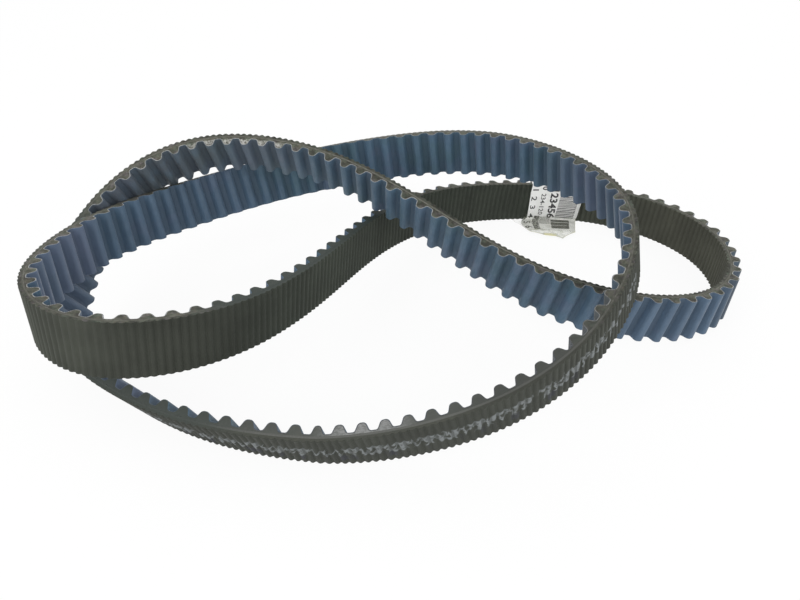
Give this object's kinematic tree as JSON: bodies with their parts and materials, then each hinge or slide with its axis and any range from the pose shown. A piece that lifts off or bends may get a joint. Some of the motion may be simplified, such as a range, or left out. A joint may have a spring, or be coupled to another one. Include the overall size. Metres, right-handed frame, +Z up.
{
  "type": "timing belt",
  "caption": "Endless toothed drive belt lying free on its edge in twisted, crossing loops, with a ribbed black back, fabric-faced teeth and a wrapped paper label",
  "frame": {"origin": "On the floor that the belt stands on, in the middle of its outline in X and Y", "axes": "+Z up; X runs along the longest extent, with the single loop at +X; the long front run lies at -Y and the label at +Y"},
  "size_m": [0.2967, 0.1778, 0.0663],
  "materials": {
    "cover_rubber": "matt, finely ribbed, with worn print",
    "cord": "wound glass-fibre cord, cut flush at the side edges",
    "tooth_rubber": "matt, cut at the side edges",
    "facing_fabric": "tight woven nylon with a low sheen",
    "label_paper": "matt white paper with black print",
    "clear_tape": "clear, slightly yellow film"
  },
  "bodies": {
    "root": {"back_cover": "cover_rubber", "tensile_cord_layer": "cord", "tooth_rubber": "tooth_rubber", "tooth_facing": "facing_fabric", "paper_label": "label_paper", "label_tape": "clear_tape"}
  },
  "joints": []
}
